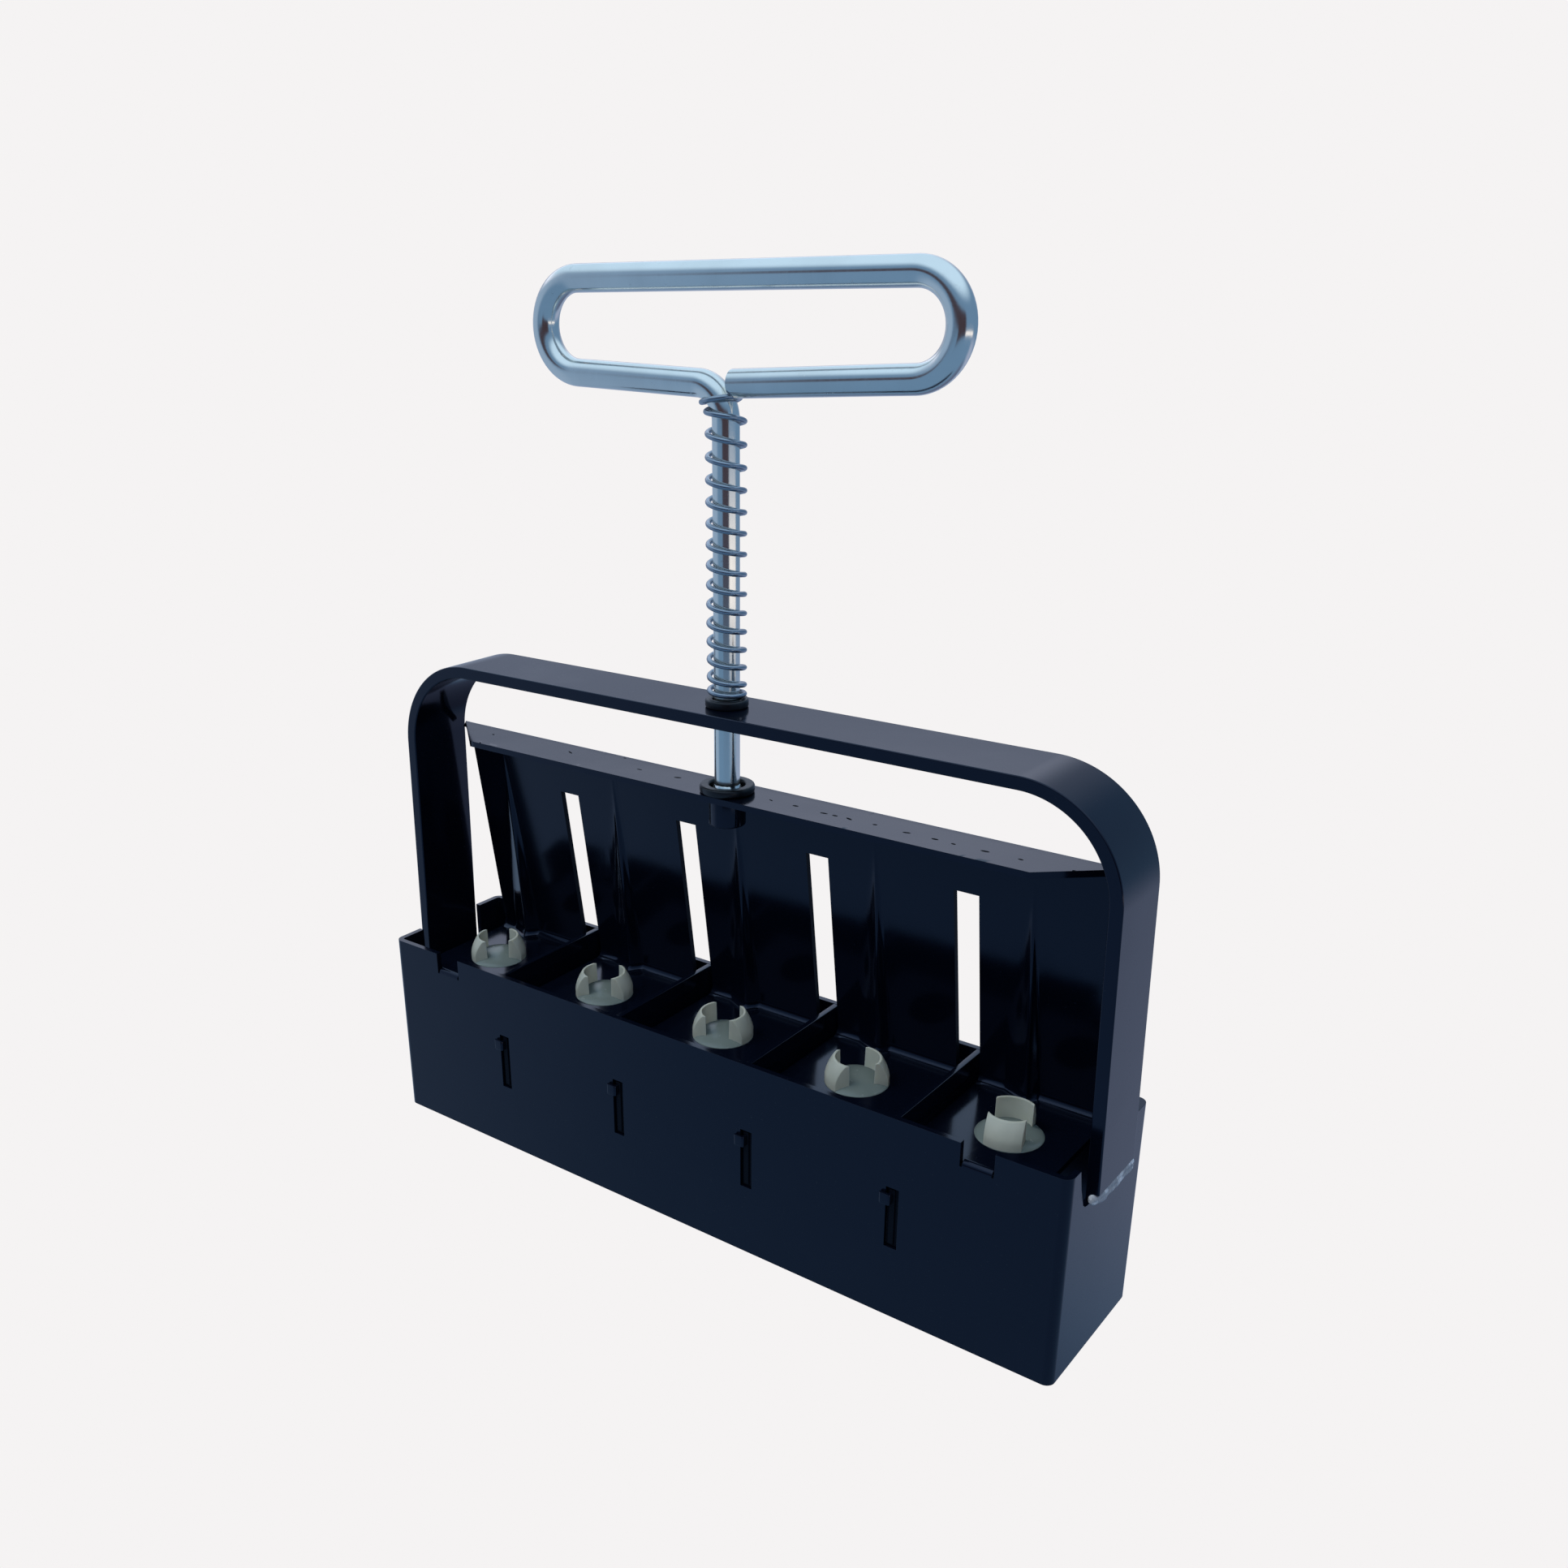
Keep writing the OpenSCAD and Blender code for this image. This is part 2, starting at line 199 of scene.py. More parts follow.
def powder_coat(name, dust=1.0, flow=1.0):
    """Glossy blue-black stoved paint: slight orange peel, faint dust, soft handling marks."""
    material, s = new_material(name)
    at = s.place()
    peel = s.noise(at, 520.0, 2.0)
    wave = s.noise(at, 45.0, 2.0)
    handled = s.span(s.noise(at, 28.0, 4.0, 0.6), 0.5, 0.75)
    specks = s.span(s.noise(at, 1900.0, 1.0), 0.74, 0.8) * dust
    base = s.mix(handled * 0.5, rgb(0.0016, 0.0028, 0.0075), rgb(0.0026, 0.0042, 0.0098))
    base = s.mix(specks * 0.2, base, rgb(0.05, 0.055, 0.06))
    rough = 0.13 + handled * 0.07 + specks * 0.25
    normal = s.bump(wave, 0.12 * flow, 0.4 * MM)
    normal = s.bump(peel, 0.06, 0.05 * MM, normal)
    finish_material(s, {
        "Base Color": base, "Roughness": rough, "Normal": normal,
        "IOR": 1.5, "Specular Tint": rgb(0.68, 0.73, 1.0),
    })
    return material


def weld_metal():
    """Weld bead: dull grey, rough, with bright crests."""
    material, s = new_material("weld_bead")
    at = s.place()
    grain = s.noise(at, 900.0, 4.0, 0.65)
    crest = s.span(s.noise(at, 260.0, 3.0, 0.6), 0.45, 0.62)
    base = s.mix(crest, rgb(0.34, 0.34, 0.36), rgb(0.78, 0.77, 0.78))
    finish_material(s, {
        "Base Color": base, "Roughness": 0.4 + grain * 0.22,
        "Metallic": crest * 0.15,
        "Normal": s.bump(grain, 0.7, 0.3 * MM),
    })
    return material


def zinc(name, tone, rough, along):
    """Bright zinc plate with fine drawn streaks along the bar."""
    material, s = new_material(name)
    at = s.place()
    streak = s.noise(s.stretched(at, along), 1.0, 3.0, 0.6)
    cloud = s.span(s.noise(at, 60.0, 3.0, 0.6), 0.35, 0.7)
    fleck = s.span(s.noise(at, 700.0, 2.0), 0.68, 0.76)
    dull = tuple(0.8 * c for c in tone[:3]) + (1.0,)
    base = s.mix(cloud * 0.35 + fleck * 0.3, tone, dull)
    finish_material(s, {
        "Base Color": base, "Metallic": 1.0,
        "Roughness": rough + streak * 0.1 + fleck * 0.12,
        "Normal": s.bump(streak, 0.1, 0.06 * MM),
    })
    return material


def chipped_edge():
    """Dull dark primer where the paint is nicked."""
    material, s = new_material("paint_chip")
    grain = s.noise(s.place(), 1500.0, 2.0)
    finish_material(s, {
        "Base Color": s.mix(grain, rgb(0.002, 0.002, 0.003), rgb(0.01, 0.011, 0.014)),
        "Roughness": 0.7 + grain * 0.2, "Specular IOR Level": 0.1,
    })
    return material


def painted_slot_shade():
    """Dull dark paint on the sheared edges of the slots, with the drag lines of the tool: painted
    shade, which keeps these faces as dark as the shade inside the slots.
    """
    material, s = new_material("painted_slot_shade")
    drag = s.noise(s.stretched(s.place(), (2600.0, 2600.0, 300.0)), 1.0, 3.0)
    finish_material(s, {
        "Base Color": s.mix(drag, rgb(0.001, 0.0015, 0.004), rgb(0.004, 0.006, 0.012)),
        "Roughness": 0.5 + drag * 0.25, "Specular IOR Level": 0.12,
        "Normal": s.bump(drag, 0.3, 0.05 * MM),
    })
    return material


def black_ring():
    """Satin black steel of the washer and the ring."""
    material, s = new_material("black_ring")
    at = s.place()
    grain = s.noise(at, 800.0, 3.0, 0.6)
    rubbed = s.span(s.noise(at, 170.0, 3.0), 0.55, 0.7)
    base = s.mix(rubbed, rgb(0.004, 0.004, 0.006), rgb(0.012, 0.013, 0.016))
    finish_material(s, {
        "Base Color": base, "Roughness": 0.26 + grain * 0.16,
        "Normal": s.bump(grain, 0.15, 0.08 * MM),
    })
    return material


def natural_nylon():
    """Milky natural nylon: smooth, a little uneven, with light inside it. The floor between the
    prongs is painted dark grey-green as painted shade.
    """
    material, s = new_material("nylon")
    at = s.place()
    milk = s.span(s.noise(at, 150.0, 3.0), 0.3, 0.7)
    soil = s.span(s.noise(at, 420.0, 4.0, 0.65), 0.6, 0.76)
    # Painted shade: where the floor attribute is set, the colour goes dark grey-green and a little
    # glossier
    clear = s.node("ShaderNodeAttribute", {"attribute_name": "floor"}, output="Fac")
    base = s.mix(milk, rgb(0.54, 0.54, 0.44), rgb(0.62, 0.61, 0.5))
    base = s.mix(clear * 0.85, base, rgb(0.13, 0.17, 0.16))
    base = s.mix(soil * 0.25, base, rgb(0.38, 0.38, 0.31))
    finish_material(s, {
        "Base Color": base, "Roughness": 0.38 + soil * 0.15 - clear * 0.14,
        "Subsurface Weight": 0.35, "Subsurface Radius": (1.2, 1.1, 0.9),
        "Subsurface Scale": 0.9 * MM,
        "Normal": s.bump(s.noise(at, 900.0, 2.0), 0.06, 0.05 * MM),
    })
    return material


PAINT = powder_coat("painted_steel")
PAINT_PRESSED = powder_coat("painted_steel_pressed", 0.6, 1.6)
WELD = weld_metal()
ZINC = zinc("zinc_rod", rgb(0.93, 0.91, 0.84), 0.12, (700.0, 700.0, 25.0))
SPRING_WIRE = zinc("spring_wire", rgb(0.4, 0.44, 0.49), 0.2, (300.0, 300.0, 300.0))
RING = black_ring()
CHIP = chipped_edge()
# Painted shade for the faces that sit inside the slots
SLOT_SHADE = painted_slot_shade()
NYLON = natural_nylon()


# ---------------------------------------------------------------- meshes

def place_piece(piece, body, nodes=()):
    """Puts a finished piece on its body and hides the solids that it stands for."""
    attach(piece, body)
    if nodes:
        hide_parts(*nodes)
    return piece


def add_object(name, mesh, material=None):
    made = bpy.data.objects.new(name, mesh)
    bpy.context.scene.collection.objects.link(made)
    if material:
        mesh.materials.clear()
        mesh.materials.append(material)
    return made


def evaluated_mesh(piece):
    """The piece's mesh with its modifiers applied, which takes the old mesh's place."""
    bpy.context.view_layer.update()
    mesh = bpy.data.meshes.new_from_object(
        piece.evaluated_get(bpy.context.evaluated_depsgraph_get()))
    old = piece.data
    piece.modifiers.clear()
    piece.data = mesh
    if old.users == 0:
        bpy.data.meshes.remove(old)
    return mesh


def settle(piece, name, material, sharp=35.0, flats=False):
    """Applies a piece's modifiers and shades it smooth, with sharp edges past an angle.
    With flats, its large flat faces keep their own normals and only the bends are shaded."""
    mesh = evaluated_mesh(piece)
    for polygon in mesh.polygons:
        polygon.use_smooth = True
        polygon.material_index = 0
    mesh.set_sharp_from_angle(angle=math.radians(sharp))
    if flats:
        even = piece.modifiers.new("flat_faces", "WEIGHTED_NORMAL")
        even.mode = "FACE_AREA"
        even.weight = 50
        even.keep_sharp = True
        mesh = evaluated_mesh(piece)
    mesh.name = name
    mesh.materials.clear()
    mesh.materials.append(material)
    return piece


def mesh_from(name, points, faces, outward=True):
    """A mesh of points in millimetres."""
    mesh = bpy.data.meshes.new(name)
    mesh.from_pydata([tuple(MM * c for c in p) for p in points], [], faces)
    if outward:
        work = bmesh.new()
        work.from_mesh(mesh)
        bmesh.ops.remove_doubles(work, verts=work.verts, dist=1e-7)
        bmesh.ops.recalc_face_normals(work, faces=work.faces)
        work.to_mesh(mesh)
        work.free()
    mesh.update()
    return mesh


def bevel(piece, width, segments, angle=30.0):
    rounding = piece.modifiers.new("edge_rounding", "BEVEL")
    rounding.width = width * MM
    rounding.segments = segments
    rounding.limit_method = "ANGLE"
    rounding.angle_limit = math.radians(angle)
    rounding.harden_normals = False
    rounding.miter_outer = "MITER_ARC"
    rounding.use_clamp_overlap = True


def cut(piece, prisms):
    """Cuts prisms out of a piece: each is the points of its outline at its two ends."""
    points, faces = [], []
    for near, far in prisms:
        more, more_faces = prism(near, far, len(points))
        points += more
        faces += more_faces
    cutter = add_object("cutter", mesh_from("cutter", points, faces))
    holes = piece.modifiers.new("cut", "BOOLEAN")
    holes.operation = "DIFFERENCE"
    holes.solver = "EXACT"
    holes.object = cutter
    return cutter


def cut_copy(node, name, body, material, width, cuts):
    """A copy of a solid's mesh with prisms cut out and its edges broken. Short edges in the
    mesh hold the rounding well under the width that is asked for."""
    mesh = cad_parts[node].data.copy()
    work = bmesh.new()
    work.from_mesh(mesh)
    bmesh.ops.remove_doubles(work, verts=work.verts, dist=2e-6)
    bmesh.ops.dissolve_limit(
        work, angle_limit=math.radians(0.6), verts=work.verts, edges=work.edges)
    work.to_mesh(mesh)
    work.free()
    piece = add_object(name, mesh)
    cutter = cut(piece, cuts)
    bevel(piece, width, 3)
    settle(piece, name, material, flats=True)
    bpy.data.objects.remove(cutter)
    return place_piece(piece, body, [node])


def grid_faces(rows, columns, wrap_rows=False, wrap_columns=False):
    """Quads between points that stand in rows and columns."""
    faces = []
    for i in range(rows if wrap_rows else rows - 1):
        for j in range(columns if wrap_columns else columns - 1):
            k, m = (i + 1) % rows, (j + 1) % columns
            faces.append((i * columns + j, i * columns + m, k * columns + m, k * columns + j))
    return faces


def prism(near, far, first=0):
    """Points and faces of a prism, from the outlines of its two ends."""
    count = len(near)
    sides = [(first + i, first + (i + 1) % count, first + count + (i + 1) % count,
              first + count + i) for i in range(count)]
    ends = [tuple(first + i for i in reversed(range(count))),
            tuple(first + count + i for i in range(count))]
    return near + far, sides + ends


def lathe(outline, centre, turns=96):
    """Points and faces of a closed outline of (radius, height) turned about a vertical axis."""
    points = []
    for i in range(turns):
        a = 2 * math.pi * i / turns
        points += [(centre[0] + r * math.cos(a), centre[1] + r * math.sin(a), centre[2] + z)
                   for r, z in outline]
    return points, grid_faces(turns, len(outline), True, True)


def arc(centre, radius, start, end, steps):
    """Points of an arc in a plane, from one angle to another, in degrees."""
    return [(centre[0] + radius * math.cos(math.radians(start + (end - start) * i / steps)),
             centre[1] + radius * math.sin(math.radians(start + (end - start) * i / steps)))
            for i in range(steps + 1)]


def ring_outline(inner, outer, low, high, ease):
    """Outline of a flat ring with rounded corners."""
    out = []
    for (r, z), a in (((outer, low), -90), ((outer, high), 0), ((inner, high), 90),
                      ((inner, low), 180)):
        cr = r - ease if r == outer else r + ease
        cz = z + ease if z == low else z - ease
        out += arc((cr, cz), ease, a, a + 90, 5)
    return out


def turned_piece(name, outline, centre, material, body, nodes):
    points, faces = lathe(outline, centre)
    piece = add_object(name, mesh_from(name, points, faces))
    settle(piece, name, material, 50.0)
    return place_piece(piece, body, nodes)


# ---------------------------------------------------------------- geometry node trees

class Tree:
    """A geometry node tree with named inputs, built in the script."""

    def __init__(self, name):
        self.tree = bpy.data.node_groups.new(name, "GeometryNodeTree")
        for way in ("INPUT", "OUTPUT"):
            self.tree.interface.new_socket(
                "Geometry", in_out=way, socket_type="NodeSocketGeometry")
        self.start = self.tree.nodes.new("NodeGroupInput")
        self.end = self.tree.nodes.new("NodeGroupOutput")
        self.names = {}

    def value(self, name, kind, default=None):
        socket = self.tree.interface.new_socket(name, in_out="INPUT", socket_type=kind)
        if default is not None:
            socket.default_value = default
        self.names[name] = socket.identifier
        return self.start.outputs[name]

    def node(self, kind, settings=None, inputs=None):
        made = self.tree.nodes.new(kind)
        for key, value in (settings or {}).items():
            setattr(made, key, value)
        for key, value in (inputs or {}).items():
            if isinstance(value, bpy.types.NodeSocket):
                self.tree.links.new(value, made.inputs[key])
            else:
                made.inputs[key].default_value = value
        return made

    def close(self, geometry, material):
        real = self.node("GeometryNodeRealizeInstances", {}, {"Geometry": geometry})
        coat = self.node("GeometryNodeSetMaterial", {}, {
            "Geometry": real.outputs["Geometry"], "Material": material})
        self.tree.links.new(coat.outputs["Geometry"], self.end.inputs["Geometry"])

    def use(self, piece, values):
        modifier = piece.modifiers.new(self.tree.name, "NODES")
        modifier.node_group = self.tree
        for name, value in values.items():
            modifier[self.names[name]] = value
        return modifier


def bar_tree():
    """Round bar or wire along the edges of a path."""
    tree = Tree("round_bar")
    size = tree.value("Diameter", "NodeSocketFloat", 0.006)
    sides = tree.value("Sides", "NodeSocketInt", 32)
    coat = tree.value("Material", "NodeSocketMaterial")
    path = tree.node("GeometryNodeMeshToCurve", {}, {"Mesh": tree.start.outputs["Geometry"]})
    half = tree.node("ShaderNodeMath", {"operation": "MULTIPLY"}, {0: size, 1: 0.5})
    ring = tree.node("GeometryNodeCurvePrimitiveCircle", {}, {
        "Resolution": sides, "Radius": half.outputs[0]})
    bar = tree.node("GeometryNodeCurveToMesh", {}, {
        "Curve": path.outputs["Curve"], "Profile Curve": ring.outputs["Curve"],
        "Fill Caps": True})
    tree.close(bar.outputs["Mesh"], coat)
    return tree


def bead_tree():
    """Overlapping drops of weld along the edges of a path."""
    tree = Tree("weld_drops")
    gap = tree.value("Spacing", "NodeSocketFloat", 0.0007)
    size = tree.value("Drop radius", "NodeSocketFloat", 0.0013)
    seed = tree.value("Seed", "NodeSocketInt", 3)
    coat = tree.value("Material", "NodeSocketMaterial")
    path = tree.node("GeometryNodeMeshToCurve", {}, {"Mesh": tree.start.outputs["Geometry"]})
    line = tree.node("GeometryNodeResampleCurve", {"mode": "LENGTH"}, {
        "Curve": path.outputs["Curve"], "Length": gap})
    drop = tree.node("GeometryNodeMeshIcoSphere", {}, {"Radius": size, "Subdivisions": 3})
    grow = tree.node("FunctionNodeRandomValue", {"data_type": "FLOAT_VECTOR"}, {
        0: (0.82, 0.8, 0.8), 1: (1.0, 1.0, 1.0), "Seed": seed})
    drops = tree.node("GeometryNodeInstanceOnPoints", {}, {
        "Points": line.outputs["Curve"], "Instance": drop.outputs["Mesh"],
        "Scale": grow.outputs[0]})
    tree.close(drops.outputs["Instances"], coat)
    return tree


def fleck_tree():
    """Small flat marks on the points of a mesh, turned and sized at random."""
    tree = Tree("paint_nicks")
    size = tree.value("Nick radius", "NodeSocketFloat", 0.0005)
    seed = tree.value("Seed", "NodeSocketInt", 5)
    coat = tree.value("Material", "NodeSocketMaterial")
    dot = tree.node("GeometryNodeMeshIcoSphere", {}, {"Radius": size, "Subdivisions": 2})
    grow = tree.node("FunctionNodeRandomValue", {"data_type": "FLOAT_VECTOR"}, {
        0: (0.6, 0.35, 0.06), 1: (2.0, 0.7, 0.1), "Seed": seed})
    turn = tree.node("FunctionNodeRandomValue", {"data_type": "FLOAT_VECTOR"}, {
        0: (0.0, 0.0, -0.5), 1: (0.0, 0.0, 0.4), "Seed": seed})
    dots = tree.node("GeometryNodeInstanceOnPoints", {}, {
        "Points": tree.start.outputs["Geometry"], "Instance": dot.outputs["Mesh"],
        "Rotation": turn.outputs[0], "Scale": grow.outputs[0]})
    tree.close(dots.outputs["Instances"], coat)
    return tree


def along_path(name, tree, path, values, material, sharp=40.0):
    """A piece that a tree makes from a path of points in millimetres."""
    mesh = bpy.data.meshes.new(name)
    edges = [(i, i + 1) for i in range(len(path) - 1)] if values.pop("edges", True) else []
    mesh.from_pydata([tuple(MM * c for c in p) for p in path], edges, [])
    piece = add_object(name, mesh)
    values["Material"] = material
    tree.use(piece, values)
    return settle(piece, name, material, sharp)


ROUND_BAR = bar_tree()
WELD_DROPS = bead_tree()
PAINT_NICKS = fleck_tree()


# ---------------------------------------------------------------- handle, rod and spring

ROD = 6.0
LOW_Z = 200.5
BAR_TOP = 221.0
LOOPS = {"left": (2.1 - 43.25, LOW_Z + 0.75), "right": (2.1 + 43.25, LOW_Z + 1.2)}
BEND_R = 7.5
MIDDLE_Z = LOW_Z - 0.6
TURN_Z = MIDDLE_Z - BEND_R
ROD_END = 101.5
FREE_END = 2.0


def bar_path():
    """The centre line of the bent bar, from the rod's foot round to the cut end."""
    (left, left_z), (right, right_z) = LOOPS["left"], LOOPS["right"]
    left_r, right_r = (BAR_TOP - left_z) / 2, (BAR_TOP - right_z) / 2
    flat = [(0.0, ROD_END + (TURN_Z - ROD_END) * i / 20) for i in range(20)]
    flat += arc((-BEND_R, TURN_Z), BEND_R, 0, 88, 16)
    flat += [(left + (-BEND_R - left) * (1 - i / 8), left_z + (MIDDLE_Z - left_z) * (1 - i / 8))
             for i in range(1, 8)]
    flat += arc((left, left_z + left_r), left_r, 268, 90, 32)
    flat += [(left + (right - left) * i / 12, BAR_TOP) for i in range(1, 12)]
    flat += arc((right, right_z + right_r), right_r, 90, -88, 32)
    flat += [(right + (FREE_END - right) * i / 8, right_z + (MIDDLE_Z - right_z) * i / 8)
             for i in range(1, 9)]
    return [(x, 0.0, z) for x, z in flat]


handle = along_path("handle_bar", ROUND_BAR, bar_path(),
                    {"Diameter": ROD * MM, "Sides": 48}, ZINC)
place_piece(handle, "plunger", ["handle_rod"])

WIRE = 1.2
COILS = 16
COIL_R = (ROD + WIRE) / 2 + 0.4
SPRING_FOOT = STRAP_TOP + 2.0 + WIRE / 2
TOP_TURN = math.radians(42.0)
CLOSED_PITCH = 1.4 * WIRE
LOW_PACKING = 0.88
TILT_SHARE = 0.4
START_PHASE = 0.7
SPRING_RUN = TURN_Z - SPRING_FOOT + BEND_R * TOP_TURN


def coil_run(turn):
    """Distance of a turn from the spring's foot along the rod: its ends are closed."""
    if turn < 1:
        return turn * CLOSED_PITCH
    if turn > COILS - 1:
        return SPRING_RUN - (COILS - turn) * CLOSED_PITCH
    share = (turn - 1) / (COILS - 2)
    packing = LOW_PACKING + (1 - LOW_PACKING) * share
    return CLOSED_PITCH + (SPRING_RUN - 2 * CLOSED_PITCH) * share * packing


def by_rod(run, radius, across):
    """A point beside the rod's centre line, which bends at the top."""
    lean = max(0.0, (run - (TURN_Z - SPRING_FOOT)) / BEND_R)
    height = min(run + SPRING_FOOT, TURN_Z)
    tilt = TILT_SHARE * lean
    return (-BEND_R * (1 - math.cos(lean)) + radius * math.cos(tilt), across,
            height + BEND_R * math.sin(lean) + radius * math.sin(tilt))


def spring_path(steps=40):
    out = []
    for i in range(COILS * steps + 1):
        a = -2 * math.pi * (i / steps + START_PHASE)
        out.append(by_rod(coil_run(i / steps), COIL_R * math.cos(a), COIL_R * math.sin(a)))
    return out


spring = along_path("spring_coil", ROUND_BAR, spring_path(),
                    {"Diameter": WIRE * MM, "Sides": 12}, SPRING_WIRE, 60.0)
place_piece(spring, "mould", ["spring"])
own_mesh(spring)

turned_piece("bush_ring", ring_outline(3.3, 5.0, 0, 2, 0.5), (0, 0, STRAP_TOP),
             RING, "mould", ["strap_bush"])
turned_piece("collar_washer", ring_outline(4.2, 6.5, 0, 2, 0.6), (0, 0, FLANGE_TOP),
             RING, "plunger", ["rod_collar"])
turned_piece("sleeve_tube", ring_outline(3.0, 4.4, 0, 6.5, 0.4), (0, 0, ROD_END),
             PAINT, "plunger", ["rod_sleeve"])


def fillet_ring():
    """Ring of weld between the rod and its collar, with lumps of some height and spacing."""
    outline = [(2.95, 0.0), (4.0, 0.05), (3.8, 0.5), (3.45, 1.0), (3.2, 1.6), (2.95, 2.0)]
    height, spacing = 0.03, 1.1
    points, faces = lathe(outline, (0, 0, FLANGE_TOP), 72)
    points = [(x * (1 + height * noise.noise(Vector((x, y, z)) * spacing)),
               y * (1 + height * noise.noise(Vector((y, x, z)) * spacing)), z)
              for x, y, z in points]
    piece = add_object("rod_fillet", mesh_from("rod_fillet", points, faces))
    settle(piece, "rod_fillet", ZINC, 60.0)
    return place_piece(piece, "plunger", ["rod_weld"])


fillet_ring()


# ---------------------------------------------------------------- mould box and strap

# The right end recess in (y, z). The rest is for each divider, with x from its middle: its
# slots' sides and heights, and the outlines in (x, y) of its tabs' shoulders and hooks.
RECESS_FLARE = [(-15.6, 53.0), (-14.2, 47.0), (-12.4, 42.2), (-11.3, 41.3), (-10.0, 41.0),
                (11.5, 41.0), (11.5, 53.0)]
RECESS_ENDS = (98.0, 102.0)
SLOT_SIDES = (-1.4, 1.85)
SLOT_HEIGHTS = (18.6, 34.3)
SLOT_REACH = 25.0
TAB_END = 19.85
SHOULDER_END = 19.5
SHOULDER = [(-1.3, 18.8), (-1.3, SHOULDER_END), (1.75, SHOULDER_END), (1.75, 18.8)]
SHOULDER_HEIGHTS = (18.7, 34.2)
HOOK = [(-0.7, 18.0), (0.1, 18.0), (0.1, 20.9), (-0.25, 21.25), (-2.45, 21.25),
        (-2.8, 20.9), (-2.8, 20.4), (-0.7, 20.4)]
HOOK_HEIGHTS = (30.1, 32.9)


def slot_cut(middle):
    """A slot through both long walls, for the tabs of one divider."""
    left, right = (middle + side for side in SLOT_SIDES)
    low, high = SLOT_HEIGHTS
    outline = [(left, low), (right, low), (right, high), (left, high)]
    return [[(x, y, z) for x, z in outline] for y in (-SLOT_REACH, SLOT_REACH)]


def mould_shell():
    """The folded box, with its right end recess flared forward and a slot for each tab."""
    flare = [[(x, y, z) for y, z in RECESS_FLARE] for x in RECESS_ENDS]
    return cut_copy("mould_box", "mould_shell", "mould", PAINT, 0.35,
                    [flare] + [slot_cut(x) for x in DIVIDERS])


def divider_sheet(number, middle):
    """One divider: a sheet with a shouldered tab in each long wall, and a small hook bent
    from each tab."""
    low, high = TAB
    side = [(CELL_BACK, MOULD_TOP), (CELL_BACK, high), (TAB_END, high), (TAB_END, low),
            (CELL_BACK, low), (CELL_BACK, 0.0)]
    outline = side + [(-y, z) for y, z in reversed(side)]
    points, faces = prism(*([(middle + x, y, z) for y, z in outline]
                            for x in (-SHEET / 2, SHEET / 2)))
    for way in (-1, 1):
        for plan, heights in ((HOOK, HOOK_HEIGHTS), (SHOULDER, SHOULDER_HEIGHTS)):
            more, more_faces = prism(*([(middle + x, way * y, z) for x, y in plan]
                                       for z in heights), len(points))
            points += more
            faces += more_faces
    name = f"divider_sheet_{number}"
    piece = add_object(name, mesh_from(name, points, faces))
    bevel(piece, 0.2, 2)
    settle(piece, name, PAINT, flats=True)
    # Painted shade: the faces of the tabs' ends and shoulders in the slots take the dark dull
    # finish, for the shade there
    piece.data.materials.append(SLOT_SHADE)
    for face in piece.data.polygons:
        if SHOULDER_END - 0.1 < abs(face.center.y) / MM < TAB_END + 0.05:
            face.material_index = 1
    return place_piece(piece, "mould", [f"divider_{number}"])


mould_shell()
for number, x in enumerate(DIVIDERS, 1):
    divider_sheet(number, x)

STRAP_R = 24.0
STRAP_T = 3.0
STRAP_FRONT = -9.0
STRAP_REAR = 9.6
STRAP_EASE = 0.35
LEAN = math.radians(1.3)
FOOT_X = MOULD_END + 1.9
WELD_TOP = FOOT_Z + 1.8
RABBET = [(101.3, 40.0), (103.5, 40.0), (103.5, WELD_TOP), (101.3, WELD_TOP)]
RABBET_REACH = 12.0


def strap_path():
    """The strap's outer face from the left foot to the right one, with its outward normals."""
    bend_z = STRAP_TOP - STRAP_R
    leg_x = FOOT_X - (bend_z - FOOT_Z) * math.tan(LEAN)
    bend_x = leg_x - STRAP_R / math.cos(LEAN)
    places = [((FOOT_X - (z - FOOT_Z) * math.tan(LEAN), z), LEAN)
              for z in np.linspace(FOOT_Z, bend_z - 2, 10)]
    for i in range(41):
        a = LEAN + (math.pi / 2 - LEAN) * i / 40
        places.append(((bend_x + STRAP_R * math.cos(a), bend_z + STRAP_R * math.sin(a)), a))
    right = [(place, (math.cos(a), math.sin(a))) for place, a in places]
    left = [((-x, z), (-nx, nz)) for (x, z), (nx, nz) in right]
    middle = [((x, STRAP_TOP), (0.0, 1.0)) for x in np.linspace(-bend_x, bend_x, 14)[1:-1]]
    return left + middle + right[::-1]


def strap_bar():
    """Flat bar with rolled edges, swept along the strap's outline."""
    section = []
    for (y, t), a in (((STRAP_REAR, 0.0), 0), ((STRAP_FRONT, 0.0), 90),
                      ((STRAP_FRONT, STRAP_T), 180), ((STRAP_REAR, STRAP_T), 270)):
        centre_y = y - math.copysign(STRAP_EASE, y)
        centre_t = STRAP_EASE if t == 0.0 else STRAP_T - STRAP_EASE
        section += [(py, -pt) for py, pt in arc((centre_y, -centre_t), STRAP_EASE, a, a + 90, 6)]
    points = []
    path = strap_path()
    for (x, z), (nx, nz) in path:
        points += [(x - nx * t, y, z - nz * t) for y, t in section]
    count = len(section)
    faces = grid_faces(len(path), count, False, True)
    faces += [tuple(range(count)), tuple((len(path) - 1) * count + i for i in range(count))]
    piece = add_object("strap_bar", mesh_from("strap_bar", points, faces))
    cutter = cut(piece, [[[(side * x, y, z) for x, z in RABBET]
                          for y in (-RABBET_REACH, RABBET_REACH)] for side in (-1, 1)])
    settle(piece, "strap_bar", PAINT, flats=True)
    bpy.data.objects.remove(cutter)
    return place_piece(piece, "mould", ["strap"])


WELD_X = MOULD_END + 0.68
WELD_Z = FOOT_Z + 0.65
WELD_FRONT = -9.0
WELD_REAR = 9.8


